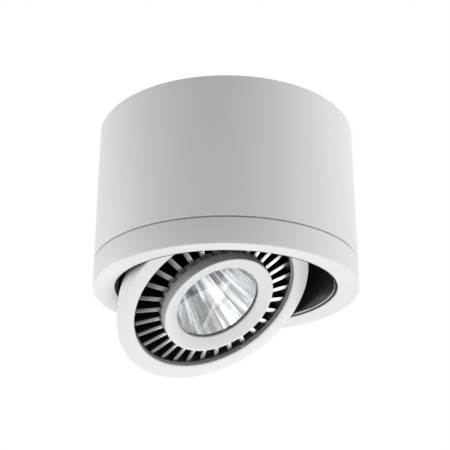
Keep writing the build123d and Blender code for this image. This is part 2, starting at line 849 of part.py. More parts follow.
def reflector():
    """Spun aluminium bowl with a flange behind the glass and an open neck."""
    flange_back = reflector_front + reflector_wall
    mouth = APERTURE_RADIUS - 0.9
    middle_radius, middle_depth = 19.2, 25.5
    inner_neck = (neck_radius, reflector_back)
    outer_neck = (neck_radius + reflector_wall, reflector_back)
    outer_mouth = (mouth + reflector_wall, flange_back)
    bowl = (
        Line((lens_radius, reflector_front), (mouth, reflector_front))
        + ThreePointArc((mouth, reflector_front), (middle_radius, middle_depth), inner_neck)
        + Line(inner_neck, outer_neck)
        + ThreePointArc(outer_neck, (middle_radius + reflector_wall, middle_depth), outer_mouth)
        + Line(outer_mouth, (lens_radius, flange_back))
        + Line((lens_radius, flange_back), (lens_radius, reflector_front))
    )
    return revolve(Plane.XZ * make_face(bowl), Axis.Z)


def chip_holder():
    """Moulded holder that clamps the light source, with posts on the cup's floor."""
    holder_radius, post_radius, gap = 21.0, 3.0, 0.3
    holder = tube(holder_radius, neck_radius + gap, reflector_back + 0.1, holder_top)
    for x in (-holder_screw_spread, holder_screw_spread):
        holder += Pos(x, 0, 0) * rod(post_radius, holder_top - 0.5, cavity_floor)
        holder -= Pos(x, 0, 0) * rod(M25_HOLE, reflector_back - 1, cavity_floor + 1)
    return holder


def light_source():
    """Ceramic substrate of the light source."""
    half_side = 9.5
    side = (-half_side, half_side)
    return block(side, side, (substrate_front, substrate_back))


def emitter():
    """Round phosphor field on the substrate, with a sloping edge."""
    emitter_radius, emitter_height, slope = 7.5, 0.5, 0.5
    front = substrate_front - emitter_height
    return turned(
        [
            (0, front),
            (emitter_radius - slope, front),
            (emitter_radius, substrate_front),
            (0, substrate_front),
        ]
    )


def thermal_pad():
    """Soft pad between the substrate and the cup's floor."""
    half_side = 10.0
    side = (-half_side, half_side)
    return block(side, side, (substrate_back, cavity_floor))


def holder_screws():
    """Two M2.5 screws through the holder into the cup's floor."""
    screw = Rotation(180, 0, 0) * pan_screw(M25, head=2.1, head_height=1.2, length=7.0)
    return [Pos(x, 0, reflector_back + 0.1) * screw for x in (-holder_screw_spread, holder_screw_spread)]


def tilt_arm():
    """Pressed arm on the heat sink's pad, with the arc slot about the virtual pivot."""
    start = 90 - TILT_MAX
    slot_spare, end_spare = 0.4, 1.0
    travel_arc = CenterArc((0, 0), slot_radius, start - slot_spare, TILT_MAX + 2 * slot_spare)
    sector_arc = CenterArc((0, 0), slot_radius, start - end_spare, TILT_MAX + 2 * end_spare)
    travel = SlotArc(travel_arc, 2 * slot_half_width)
    sector = SlotArc(sector_arc, arm_width)
    tab_low, tab_half, tab_lean, tab_corner = 39.0, 8.0, 3.0, 3.0
    tab = make_face(
        Polyline(
            (-tab_half, tab_low),
            (tab_half, tab_low),
            (tab_half + tab_lean, slot_radius - 2.0),
            (-tab_half + tab_lean, slot_radius),
            close=True,
        )
    )
    face = fillet(tab.vertices().group_by(Axis.Y)[0], tab_corner) + sector - travel
    arm = side_plate(face, arm_near, arm_far)
    for x in (-arm_screw_spread, arm_screw_spread):
        arm -= Pos(x, arm_near, arm_screw_depth) * Rotation(90, 0, 0) * Cylinder(M3_HOLE, 6 * SHEET)
    return arm


def arm_screws():
    """Four M3 screws that hold the arms on the heat sink's pads."""
    screw = Rotation(-90, 0, 0) * pan_screw(M3, head=2.7, head_height=1.3, length=7.5)
    right = [Pos(x, arm_far, arm_screw_depth) * screw for x in (-arm_screw_spread, arm_screw_spread)]
    return right + [mirror(one, Plane.XZ) for one in right]


# ---------------------------------------------------------------- assembly
def build_parts():
    """Every piece in its place, by node name."""
    clip = keeper_clip()
    bracket = hinge_bracket()
    half_turn = Rotation(0, 0, 180)
    fixed = {
        "housing_can": housing_can(),
        "shelf_lugs": shelf_lugs(),
        "bezel_ring": bezel_ring(),
        "slide_washer": slide_washer(),
        "keeper_clips": [on_circle(clip, 0, azimuth, up(boss_top_up)) for azimuth in KEEPER_AZIMUTHS],
        "stop_clip": on_circle(stop_clip(), 0, STOP_AZIMUTH, up(boss_top_up)),
        "keeper_screws": keeper_screws(),
        "partition_plate": partition_plate(),
        "partition_screws": partition_screws(),
        "lead_grommet": lead_grommet(),
        "driver_base": driver_base(),
        "driver_lid": driver_lid(),
        "driver_screws": driver_screws(),
        "terminal_block": terminal_block(),
        "terminal_screws": terminal_screws(),
        "earth_screw": earth_screw(),
        "ceiling_plate": ceiling_plate(),
        "side_brackets": side_brackets(),
        "side_screws": side_screws(),
        "cable_grommet": cable_grommet(),
        "swivel_ring": swivel_ring(),
        "carrier_ring": carrier_ring(),
        "bracket_screws": bracket_screws(),
    }
    swivelling = {
        "hinge_bracket_right": bracket,
        "hinge_bracket_left": half_turn * bracket,
        "tilt_pin_right": tilt_pin(),
        "tilt_pin_left": half_turn * tilt_pin(),
        "friction_washers": [friction_washer(), half_turn * friction_washer()],
        "lock_nuts": [lock_nut(), half_turn * lock_nut()],
    }
    arm_right, arm_left = both_sides(tilt_arm())
    tilting = {
        "head_ring": head_ring(),
        "heat_sink": heat_sink(),
        "ring_screws": ring_screws(),
        "lens_ring": lens_ring(),
        "lens_seal": lens_seal(),
        "lens": lens(),
        "reflector": reflector(),
        "chip_holder": chip_holder(),
        "light_source": light_source(),
        "emitter": emitter(),
        "thermal_pad": thermal_pad(),
        "holder_screws": holder_screws(),
        "tilt_arm_right": arm_right,
        "tilt_arm_left": arm_left,
        "arm_screws": arm_screws(),
    }
    parts = dict(fixed)
    parts.update({name: placed(shape, swivel_frame) for name, shape in swivelling.items()})
    parts.update({name: placed(shape, head_frame) for name, shape in tilting.items()})
    return parts


def placed(shape, frame):
    """A shape, or each of a group of shapes, moved by a frame."""
    if isinstance(shape, list):
        return [frame * one for one in shape]
    return frame * shape


os.makedirs("parts", exist_ok=True)
for name, shape in build_parts().items():
    node = Compound(children=shape) if isinstance(shape, list) else shape
    export_step(node, f"parts/{name}.step")
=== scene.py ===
import json
import math
import bmesh
import bpy
from mathutils import Matrix, Vector


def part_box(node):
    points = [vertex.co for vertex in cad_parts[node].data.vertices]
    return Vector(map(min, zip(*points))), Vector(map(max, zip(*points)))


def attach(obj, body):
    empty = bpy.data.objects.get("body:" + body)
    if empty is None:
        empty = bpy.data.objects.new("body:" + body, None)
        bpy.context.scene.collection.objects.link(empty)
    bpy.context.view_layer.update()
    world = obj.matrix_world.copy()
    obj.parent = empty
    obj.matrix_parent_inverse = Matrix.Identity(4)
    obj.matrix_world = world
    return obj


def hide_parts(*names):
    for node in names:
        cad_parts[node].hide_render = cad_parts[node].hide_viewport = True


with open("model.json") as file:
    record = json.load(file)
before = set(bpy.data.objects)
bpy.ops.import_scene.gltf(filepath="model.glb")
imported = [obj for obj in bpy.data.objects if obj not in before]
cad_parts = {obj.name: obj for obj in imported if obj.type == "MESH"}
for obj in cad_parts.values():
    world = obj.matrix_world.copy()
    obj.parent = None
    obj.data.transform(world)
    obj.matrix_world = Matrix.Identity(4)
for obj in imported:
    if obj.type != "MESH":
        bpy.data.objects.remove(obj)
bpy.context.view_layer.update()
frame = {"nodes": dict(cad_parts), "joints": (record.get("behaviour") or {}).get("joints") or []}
nodes = frame["nodes"]

# ---------------------------------------------------------------- housing can
# The can is turned from aluminium tube with a small round on both rims, and has a hole
# on each side for the screws that clamp it to its ceiling plate. It is powder coated
# matt white, which leaves a faint orange peel.
MM = 0.001
STEPS = 256
ROUND_STEPS = 4
WELD_DISTANCE = 0.001
SHARP = math.radians(32)
WHITE = (0.86, 0.872, 0.88, 1)
WHITE_IN_SHADE = (0.845, 0.857, 0.866, 1)

can_low, can_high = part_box("housing_can")
outer_radius = can_high.x / MM
face_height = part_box("bezel_ring")[0].z / MM
can_bottom = can_low.z / MM
can_top = can_high.z / MM
can_wall = 2.5
can_inner = outer_radius - can_wall
rim_round = 0.5
inner_rim_round = 0.2
side_hole_height = can_top - 9.0
side_hole_radius = 2.15
side_hole_rows = (-2.8, -1.4, 0, 1.4, 2.8)


def up(height):
    """Height in millimetres above the bezel's lower face, as a height in the frame."""
    return face_height + height


def turned(corners, closed=True, steps=STEPS):
    """Lathe-turned mesh: each corner is its radius, its height and the round on it.

    An outline that isn't closed has its first and last corners on the axis.
    """
    piece = bmesh.new()
    outline = [piece.verts.new((radius, 0, height)) for radius, height, edge in corners]
    piece.faces.new(outline)
    for corner, (radius, height, edge) in zip(outline, corners):
        if edge:
            bmesh.ops.bevel(
                piece, geom=[corner], offset=edge, offset_type="OFFSET", affect="VERTICES",
                segments=ROUND_STEPS, profile=0.5, material=-1,
            )
    bmesh.ops.delete(piece, geom=piece.faces[:], context="FACES_ONLY")
    if not closed:
        core = [edge for edge in piece.edges if all(vert.co.x < WELD_DISTANCE for vert in edge.verts)]
        bmesh.ops.delete(piece, geom=core, context="EDGES")
    bmesh.ops.spin(
        piece, geom=piece.verts[:] + piece.edges[:], cent=(0, 0, 0), axis=(0, 0, 1),
        dvec=(0, 0, 0), angle=math.tau, steps=steps, use_merge=True, use_duplicate=False,
    )
    bmesh.ops.remove_doubles(piece, verts=piece.verts, dist=WELD_DISTANCE)
    bmesh.ops.recalc_face_normals(piece, faces=piece.faces)
    return piece


def finished(piece, name, body, coats, place=Matrix.Identity(4), sharp=SHARP):
    """Places a mesh drawn in millimetres, coats it and hangs it on its body."""
    bmesh.ops.transform(piece, matrix=place @ Matrix.Scale(MM, 4), verts=piece.verts)
    mesh = bpy.data.meshes.new(name)
    piece.to_mesh(mesh)
    piece.free()
    mesh.shade_smooth()
    mesh.set_sharp_from_angle(angle=sharp)
    for coat in coats:
        mesh.materials.append(coat)
    thing = bpy.data.objects.new(name, mesh)
    bpy.context.scene.collection.objects.link(thing)
    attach(thing, body)
    return thing


def finish_named(name, **settings):
    """New material whose shader has these settings, with its node tree and shader."""
    coat = bpy.data.materials.new(name)
    coat.use_nodes = True
    shader = coat.node_tree.nodes["Principled BSDF"]
    for socket, value in settings.items():
        shader.inputs[socket.replace("_", " ")].default_value = value
    return coat, coat.node_tree, shader


def wired(tree, kind, inputs=(), **settings):
    """New node with its settings, whose inputs are values or other nodes' outputs."""
    node = tree.nodes.new(kind)
    for key, value in settings.items():
        setattr(node, key, value)
    for socket, value in dict(inputs).items():
        if isinstance(value, bpy.types.NodeSocket):
            tree.links.new(value, node.inputs[socket])
        else:
            node.inputs[socket].default_value = value
    return node


def speckle(tree, size, detail=2.0, place=None):
    """Noise with cells of a size in millimetres, on the piece's own coordinates."""
    if place is None:
        place = wired(tree, "ShaderNodeTexCoord").outputs["Object"]
    inputs = {"Vector": place, "Scale": 1 / (size * MM), "Detail": detail}
    return wired(tree, "ShaderNodeTexNoise", inputs).outputs["Fac"]


def ranged(tree, value, low, high, start=0.3, end=0.7):
    """Value from a noise, spread between a low and a high figure."""
    inputs = {"Value": value, "From Min": start, "From Max": end, "To Min": low, "To Max": high}
    return wired(tree, "ShaderNodeMapRange", inputs).outputs["Result"]


def embossed(tree, shader, height, depth, strength=1.0, under=None):
    """Relief of a depth in millimetres on the shader, over an earlier relief if there is one."""
    inputs = {"Height": height, "Distance": depth * MM, "Strength": strength}
    if under is not None:
        inputs["Normal"] = under
    relief = wired(tree, "ShaderNodeBump", inputs).outputs["Normal"]
    tree.links.new(relief, shader.inputs["Normal"])
    return relief


def tinted(tree, shader, amount, dark, light):
    """Colour between two tints, by an amount from a texture."""
    # The mix node has a socket of each name for every type: these are the colour's.
    mix = wired(tree, "ShaderNodeMix", {0: amount, 6: dark, 7: light}, data_type="RGBA")
    tree.links.new(mix.outputs[2], shader.inputs["Base Color"])


def white_coat():
    """Matt white powder coat: orange peel, a fine sparkle and slightly uneven gloss."""
    coat, tree, shader = finish_named("white powder coat", Specular_IOR_Level=0.4)
    cloud = speckle(tree, 24.0, detail=3.0)
    peel = speckle(tree, 1.1, detail=1.0)
    grit = speckle(tree, 0.25, detail=1.0)
    tinted(tree, shader, cloud, WHITE_IN_SHADE, WHITE)
    tree.links.new(ranged(tree, peel, 0.40, 0.52), shader.inputs["Roughness"])
    relief = embossed(tree, shader, grit, 0.004)
    embossed(tree, shader, peel, 0.012, under=relief)
    return coat


white = white_coat()


def wall_patch(piece, side, wall_radius, height, reach):
    """Faces of one wall of a tube that lie round a point on the X axis."""
    patch = []
    for face in piece.faces:
        middle = face.calc_center_median()
        upright = abs(face.normal.z) < 0.5
        on_wall = upright and abs(middle.xy.length - wall_radius) < 0.1 and middle.x * side > 0
        if on_wall and abs(middle.y) < reach and abs(middle.z - height) < reach:
            patch.append(face)
    return patch


def pierced(piece, radius, wall_radii, height):
    """Cuts a round hole through both sides of a tube's wall, on the X axis."""
    for side in (-1, 1):
        rims = []
        for wall_radius in wall_radii:
            middle = Vector((side * wall_radius, 0, height))
            patch = wall_patch(piece, side, wall_radius, height, reach=1.3 * radius)
            edges = {edge for face in patch for edge in face.edges}
            rim = [edge for edge in edges if len(set(edge.link_faces) - set(patch)) == 1]
            bmesh.ops.delete(piece, geom=patch, context="FACES")
            for vert in {vert for edge in rim for vert in edge.verts}:
                spoke = vert.co - middle
                spoke.x = 0
                around = spoke.normalized() * radius
                vert.co.y = around.y
                vert.co.z = height + around.z
                vert.co.x = side * math.sqrt(wall_radius**2 - around.y**2)
            rims += rim
        bmesh.ops.bridge_loops(piece, edges=rims)


can = turned([
    (can_inner, can_bottom, inner_rim_round),
    (outer_radius, can_bottom, rim_round),
    *[(outer_radius, side_hole_height + row, 0) for row in side_hole_rows],
    (outer_radius, can_top, rim_round),
    (can_inner, can_top, inner_rim_round),
    *[(can_inner, side_hole_height + row, 0) for row in reversed(side_hole_rows)],
])
pierced(can, side_hole_radius, (outer_radius, can_inner), side_hole_height)
bmesh.ops.recalc_face_normals(can, faces=can.faces)
can = finished(can, "housing_can_coated", "fixture", [white])
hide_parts("housing_can")

# ---------------------------------------------------------------- bezel ring
# The cast ring below the shadow groove: its face slopes in to the collar that the swivel
# ring runs on, and its spigot screws up into the can. Four bosses in the channel take the
# keepers. It has the can's white coat.
bezel_height = 14.7
face_width = 12.2
face_recess = 1.4
hole_radius = outer_radius - face_width
collar_outer = hole_radius + 2.4
collar_top = 12.0
channel_floor = 3.6
spigot_outer = can_inner - 0.1
spigot_inner = spigot_outer - 2.5
spigot_top = 24.0
boss_radius = 2.3
boss_circle = spigot_inner - 0.3
boss_top = 15.0
boss_angles = (0, 90, 120, 240)
boss_root = 0.5
outer_round = 0.9
hole_round = 0.45
groove_round = 0.35
channel_round = 0.6
top_round = 0.3
BOSS_STEPS = 32


def placed_at(angle, radius, height):
    """Place on a circle: an angle in degrees, a radius and a height."""
    return Matrix.Rotation(math.radians(angle), 4, "Z") @ Matrix.Translation((radius, 0, height))


def add_boss(piece, angle, circle, radius, low, high):
    """Cast boss on a circle, between two heights, with its root sunk into the casting."""
    bmesh.ops.create_cone(
        piece, cap_ends=True, segments=BOSS_STEPS, radius1=radius, radius2=radius,
        depth=high - low + boss_root, matrix=placed_at(angle, circle, (low + high - boss_root) / 2),
    )


bezel = turned([
    (hole_radius, up(face_recess), hole_round),
    (outer_radius, up(0), outer_round),
    (outer_radius, up(bezel_height), groove_round),
    (spigot_outer, up(bezel_height), 0),
    (spigot_outer, up(spigot_top), top_round),
    (spigot_inner, up(spigot_top), top_round),
    (spigot_inner, up(channel_floor), channel_round),
    (collar_outer, up(channel_floor), channel_round),
    (collar_outer, up(collar_top), top_round),
    (hole_radius, up(collar_top), top_round),
])
for angle in boss_angles:
    add_boss(bezel, angle, boss_circle, boss_radius, up(channel_floor), up(boss_top))
bezel = finished(bezel, "bezel_ring_coated", "fixture", [white])
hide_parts("bezel_ring")

# ---------------------------------------------------------------- slide washer, clips and screws
# A plastic washer lies on the collar under the swivel ring, and zinc-plated clips on the
# bosses hold the ring down. The fourth clip has a longer finger that ends the turn.


def zinc_steel():
    """Bright zinc plate on pressed steel: a faint blue spangle and fine rolling lines."""
    coat, tree, shader = finish_named("zinc-plated steel", Metallic=1.0)
    spangle = speckle(tree, 3.5, detail=4.0)
    grain = speckle(tree, 0.3, detail=2.0)
    tinted(tree, shader, spangle, (0.53, 0.55, 0.58, 1), (0.68, 0.68, 0.66, 1))
    tree.links.new(ranged(tree, spangle, 0.26, 0.42), shader.inputs["Roughness"])
    embossed(tree, shader, grain, 0.006)
    return coat


def moulded(name, colour, roughness, grain_size, grain_depth, shine=0.5):
    """Moulded plastic or rubber: one colour, slightly uneven gloss and a fine grain."""
    coat, tree, shader = finish_named(name, Specular_IOR_Level=shine)
    cloud = speckle(tree, 12.0, detail=3.0)
    shade = [channel * 0.93 for channel in colour[:3]] + [1]
    tinted(tree, shader, cloud, shade, colour)
    grain = speckle(tree, grain_size, detail=2.0)
    uneven = ranged(tree, grain, roughness - 0.05, roughness + 0.07)
    tree.links.new(uneven, shader.inputs["Roughness"])
    embossed(tree, shader, grain, grain_depth)
    return coat


def dressed(coat, *names):
    """Gives construction pieces, whose shape is final, their real finish."""
    for name in names:
        mesh = nodes[name].data
        mesh.materials.clear()
        mesh.materials.append(coat)


zinc = zinc_steel()
slippery = moulded("slippery washer plastic", (0.80, 0.80, 0.77, 1), 0.35, 0.8, 0.004)
dressed(slippery, "slide_washer")
dressed(zinc, "keeper_clips", "stop_clip", "keeper_screws")

# ---------------------------------------------------------------- driver deck
# A zinc-plated disc on three welded lugs closes the can above the head. The LED driver
# in its white moulded case, the grey supply terminal and the earth screw stand on it, and
# a rubber bush lines its hole for the lamp lead.
driver_white = moulded("driver case plastic", (0.82, 0.82, 0.79, 1), 0.42, 0.7, 0.010)
terminal_grey = moulded("terminal plastic", (0.50, 0.51, 0.52, 1), 0.38, 0.6, 0.008)
rubber = moulded("moulded black rubber", (0.022, 0.022, 0.023, 1), 0.62, 0.5, 0.010)
dressed(
    zinc, "shelf_lugs", "partition_plate", "partition_screws", "driver_screws",
    "terminal_screws", "earth_screw",
)
dressed(driver_white, "driver_base", "driver_lid")
dressed(terminal_grey, "terminal_block")
dressed(rubber, "lead_grommet")

# ---------------------------------------------------------------- ceiling plate
# The pressed steel disc is screwed to the ceiling through two slots, with a rubber bush
# for the supply cable. Two welded angles take the set screws through the can's sides.
dressed(zinc, "ceiling_plate", "side_brackets", "side_screws")
dressed(rubber, "cable_grommet")

# ---------------------------------------------------------------- swivel ring
# The liner turns in the bezel on its running flange and stops on a small tab. It is
# aluminium lacquered gloss black. After coating, a band of its chamfered lower lip is turned
# bright. Its lowest edge is coloured near-black and matt: painted shade, standing in for the
# deep shadow in the gap at the bezel.
liner_outer = hole_radius - 0.5
liner_inner = liner_outer - 1.5
liner_bottom = face_recess + 0.3
carrier_bottom = 34.0
running_height = 12.6
running_outer = 67.0
running_thickness = 1.8
flange_round = 0.25
lip_height = 2.0
lip_chamfer = 0.9
lip_bare = (0.22, 0.62)
lip_round = 0.08
tab_width = 5.0
tab_reach = 2.3
tab_bottom = running_height + 1.0
tab_top = 19.0
tab_root = 0.5
tab_angle = -90
LACQUERED, BARE, GAP_SHADE = 0, 1, 2


def black_gloss():
    """Gloss black lacquer: dark charcoal under a clear coat, with a long soft ripple."""
    coat, tree, shader = finish_named(
        "gloss black lacquer", Roughness=0.32, Coat_Weight=0.6, Coat_Roughness=0.12,
    )
    ripple = speckle(tree, 9.0, detail=1.0)
    dust = speckle(tree, 0.35, detail=2.0)
    tinted(tree, shader, dust, (0.018, 0.018, 0.020, 1), (0.028, 0.028, 0.031, 1))
    relief = embossed(tree, shader, dust, 0.002)
    embossed(tree, shader, ripple, 0.02, under=relief)
    return coat


WAVE_PITCH = 0.314


def rings_about(tree, place, pitch):
    """Fine lathe lines of a pitch in millimetres, about the Z axis of a place."""
    # The wave texture's own rings are this far apart, in metres, at a scale of 1.
    scale = WAVE_PITCH / (pitch * MM)
    inputs = {"Vector": place, "Scale": scale, "Distortion": 1.5, "Detail": 2.0}
    lines = wired(tree, "ShaderNodeTexWave", inputs, wave_type="RINGS", rings_direction="Z")
    return lines.outputs["Fac"]


def bright_lip():
    """Bare aluminium, turned bright on the lathe after coating."""
    coat, tree, shader = finish_named("bright-turned aluminium", Metallic=1.0)
    place = wired(tree, "ShaderNodeTexCoord").outputs["Object"]
    lines = rings_about(tree, place, 0.25)
    tinted(tree, shader, lines, (0.88, 0.885, 0.89, 1), (0.95, 0.95, 0.95, 1))
    tree.links.new(ranged(tree, speckle(tree, 4.0), 0.34, 0.46), shader.inputs["Roughness"])
    embossed(tree, shader, lines, 0.002)
    return coat


def lip_corner(part):
    """Corner on the lip's chamfer, at a part of the way up it."""
    return (liner_inner + lip_chamfer * (1 - part), up(liner_bottom + lip_height * part), 0)


def lip_finish(face):
    """Finish of a face of the liner: painted gap shade below, then bare, and lacquered elsewhere."""
    middle = face.calc_center_median()
    part = (middle.z - up(liner_bottom)) / lip_height
    faces_in = face.normal.xy.dot(middle.xy) < 0
    if part < 0.05 or faces_in and part < lip_bare[0]:
        return GAP_SHADE
    return BARE if faces_in and part < lip_bare[1] else LACQUERED


def add_block(piece, place, size):
    """Plain block of a size, with its middle at a place."""
    bmesh.ops.create_cube(piece, size=1, matrix=place @ Matrix.Diagonal((*size, 1)))


# Painted shade: the liner's lowest edge is near-black and matt to stand in for the gap's shadow.
gap_shade_edge = moulded("painted gap shade", (0.006, 0.006, 0.007, 1), 0.8, 0.5, 0.006, shine=0.1)
liner = turned([
    (liner_outer, up(liner_bottom), 0.3),
    (liner_outer, up(running_height), 0),
    (running_outer, up(running_height), flange_round),
    (running_outer, up(running_height + running_thickness), flange_round),
    (liner_outer, up(running_height + running_thickness), 0),
    (liner_outer, up(carrier_bottom), 0),
    (liner_inner, up(carrier_bottom), 0),
    (liner_inner, up(liner_bottom + lip_height), lip_round),
    *[lip_corner(part) for part in reversed(lip_bare)],
    (liner_inner + lip_chamfer, up(liner_bottom), lip_round),
])
for face in liner.faces:
    face.material_index = lip_finish(face)
add_block(
    liner,
    placed_at(tab_angle, liner_outer + (tab_reach - tab_root) / 2, up((tab_bottom + tab_top) / 2)),
    (tab_reach + tab_root, tab_width, tab_top - tab_bottom),
)
liner_coats = [black_gloss(), bright_lip(), gap_shade_edge]
liner = finished(liner, "swivel_ring_lacquered", "swivel", liner_coats)
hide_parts("swivel_ring")

# ---------------------------------------------------------------- carrier ring and brackets
# A flat steel ring is pressed on the liner's top edge and carries two pressed angles.
# A shoulder screw with a sprung washer and a lock nut rides in each arm's arc slot.
dressed(
    zinc, "carrier_ring", "bracket_screws", "hinge_bracket_right", "hinge_bracket_left",
    "tilt_pin_right", "tilt_pin_left", "friction_washers", "lock_nuts",
)

# ---------------------------------------------------------------- head ring
# The white eyeball ring is a zone of a ball about the virtual pivot, cast in aluminium with
# a flat face, an inner skirt and three bosses for the screws that hold it on the heat sink.
# It is powder coated, but not on the skirt behind the fins. Its bore has a bluish grey that is
# painted shade, for the white coat in the bore's shadow.
tilt_joint = next(joint for joint in frame["joints"] if joint["name"] == "head_tilt")
pivot = Vector(tilt_joint["pos_m"])
tilt_axis = Vector(tilt_joint["axis"])
tilt_at_rest = -math.radians(tilt_joint["range_deg"][0])
facing = math.atan2(tilt_axis.x, -tilt_axis.y)
head_place = (
    Matrix.Translation(pivot) @ Matrix.Rotation(facing, 4, "Z") @ Matrix.Rotation(-tilt_at_rest, 4, "Y")
)
ball_radius = 61.0
ring_face = 13.0
ring_bore = 49.0
ring_bore_round = 1.5
ring_bore_step = 0.35
ring_step_back = ring_face + 2.6
ring_skirt_wall = 1.4
ring_skirt_back = 19.5
ring_flange = 2.2
ring_wall = 2.1
ring_back = 37.0
ring_boss_back = 20.0
ring_boss_radius = 2.1
ring_screw_circle = 51.0
ring_screw_angles = (0, 120, 240)
ring_edge_round = 1.1
skirt_round = 0.2
ARC_STEPS = 14
WHITE_COAT, BORE_PAINTED_SHADE, UNCOATED = 0, 1, 2


def ball_edge(radius, depth):
    """Radius at which a ball about the pivot crosses a depth behind it."""
    return math.sqrt(radius**2 - depth**2)


def ball_arc(radius, start, end):
    """Corners along a ball about the pivot, between two depths."""
    depths = [start + (end - start) * step / ARC_STEPS for step in range(ARC_STEPS + 1)]
    return [(ball_edge(radius, depth), depth, 0) for depth in depths]


def bore_finish(face):
    """Finish of a face of the ring: uncoated on the skirt, and painted shade on the bore before it."""
    middle = face.calc_center_median()
    behind = middle.z > ring_step_back + 0.1
    if behind and middle.xy.length < ring_bore + 0.1:
        return UNCOATED
    return WHITE_COAT if behind or middle.xy.length > ring_bore + 1.0 else BORE_PAINTED_SHADE


ball_start = ring_face + 1.6
flange_back = ring_face + ring_flange
ring = turned([
    (ring_bore + ring_bore_step, ring_face, ring_bore_round),
    (ball_edge(ball_radius, ring_face), ring_face, ring_edge_round),
    *ball_arc(ball_radius, ball_start, ring_back),
    *ball_arc(ball_radius - ring_wall, ring_back, flange_back),
    (ring_bore + ring_skirt_wall, flange_back, 0),
    (ring_bore + ring_skirt_wall, ring_skirt_back, skirt_round),
    (ring_bore, ring_skirt_back, skirt_round),
    (ring_bore, ring_step_back, 0.12),
    (ring_bore + ring_bore_step, ring_step_back, 0),
])
for angle in ring_screw_angles:
    add_boss(ring, angle, ring_screw_circle, ring_boss_radius, flange_back, ring_boss_back)
for face in ring.faces:
    face.material_index = bore_finish(face)
# Painted shade: the bore's bluish grey stands for the white coat in the shadow of the ring.
bore_painted_shade = moulded("painted shade on the bore", (0.42, 0.45, 0.47, 1), 0.45, 0.4, 0.006)
uncoated = moulded("skirt left uncoated", (0.10, 0.105, 0.11, 1), 0.5, 0.4, 0.010)
ring_coats = [white, bore_painted_shade, uncoated]
ring = finished(ring, "head_ring_coated", "head", ring_coats, head_place)
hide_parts("head_ring")

# ---------------------------------------------------------------- heat sink
# One aluminium casting: a cup for the reflector, 32 tapered radial fins, a thin outer rim
# and flat pads for the tilt arms. It is anodised black, and the fins' front edges are then
# faced on a lathe, which leaves them bare satin metal.
fin_count = 32
fin_front_width = 3.0
fin_rear_width = 1.8
fin_front_inner = ring_face + 0.45
fin_front_outer = ring_face + 2.3
fin_back = 54.0
fin_edge_round = 0.22
rim_front = 19.8
rim_front_outer = 47.9
rim_back = 36.5
rim_back_outer = 45.4
rim_wall = 1.3
core_outer = 31.8
core_front = 15.4
core_straight_back = 30.0
core_rear_outer = 27.5
core_overlap = 1.0
cavity_radius = 27.0
cavity_floor = 42.7
hub_radius = 18.0
hub_flare = 3.0
hub_edge = 1.0
hub_well_radius = 6.0
hub_well_depth = 3.0
lens_ring_outer = 33.6
lens_ring_back = 17.5
lens_ring_gap = 0.3
fin_inner = lens_ring_outer + lens_ring_gap
fin_outer = ring_bore - 0.6
fin_ball = ball_radius - 1.5
fin_rear_depths = (42.0, 48.0, 52.0)
fin_tip_slope = 3.0
fin_root = 0.5
fin_foot = (cavity_radius + 0.4, cavity_floor)
FIN_REAR_STEPS = 4
casting_round = 0.25
flat_start = 38.0
flat_reach = 36.0
flat_half_length = 30.0
pad_half_width = 8.0
pad_inner = 24.0
pad_depths = (38.2, 50.0)
lug_size = (6.6, 6.0, 2.0)
lug_set_in = 1.7
BLACK, FACED = 0, 1


def black_anodised():
    """Black anodised casting: very dark, half matt, with the sand's fine grain."""
    coat, tree, shader = finish_named("black anodised casting", Specular_IOR_Level=0.35)
    grain = speckle(tree, 0.45, detail=3.0)
    tinted(tree, shader, grain, (0.005, 0.005, 0.006, 1), (0.012, 0.012, 0.013, 1))
    tree.links.new(ranged(tree, grain, 0.42, 0.60), shader.inputs["Roughness"])
    embossed(tree, shader, grain, 0.02)
    return coat


def head_coordinates(tree):
    """The piece's own coordinates, turned so that Z runs along the head's axis."""
    place = wired(tree, "ShaderNodeTexCoord").outputs["Object"]
    back = head_place.inverted()
    mapping = wired(tree, "ShaderNodeMapping", {
        "Vector": place, "Location": back.translation, "Rotation": back.to_euler(),
    })
    return mapping.outputs["Vector"]


def faced_metal():
    """Satin aluminium faced on a lathe: fine rings about the head's axis."""
    coat, tree, shader = finish_named("faced aluminium", Metallic=1.0)
    place = head_coordinates(tree)
    lines = rings_about(tree, place, 0.3)
    tinted(tree, shader, lines, (0.25, 0.245, 0.27, 1), (0.31, 0.305, 0.33, 1))
    cloud = speckle(tree, 1.6, place=place)
    tree.links.new(ranged(tree, cloud, 0.20, 0.28), shader.inputs["Roughness"])
    embossed(tree, shader, lines, 0.001)
    return coat


def fin_front_at(radius):
    """Depth of the fins' crowned front at a radius."""
    along = (radius - fin_inner) / (fin_outer - fin_inner)
    return fin_front_inner + (fin_front_outer - fin_front_inner) * along


def fin_rear(reach):
    """Corners down a fin's rear edge, which stays within a reach beside the tilt arms."""
    bends = [(rim_back_outer - 0.5 * rim_wall, rim_back)]
    bends += [(ball_edge(fin_ball, depth), depth) for depth in fin_rear_depths]
    bends.append((bends[-1][0] - fin_tip_slope, fin_back))
    corners = [bends[0]]
    for (radius, depth), (next_radius, next_depth) in zip(bends, bends[1:]):
        for step in range(1, FIN_REAR_STEPS + 1):
            here = depth + (next_depth - depth) * step / FIN_REAR_STEPS
            bend = radius + (next_radius - radius) * step / FIN_REAR_STEPS
            if corners[-1][1] < flat_start <= here and reach < bend:
                corners += [(corners[-1][0], flat_start - 0.01), (reach, flat_start)]
            corners.append((min(bend, reach) if here > flat_start else bend, here))
    return corners


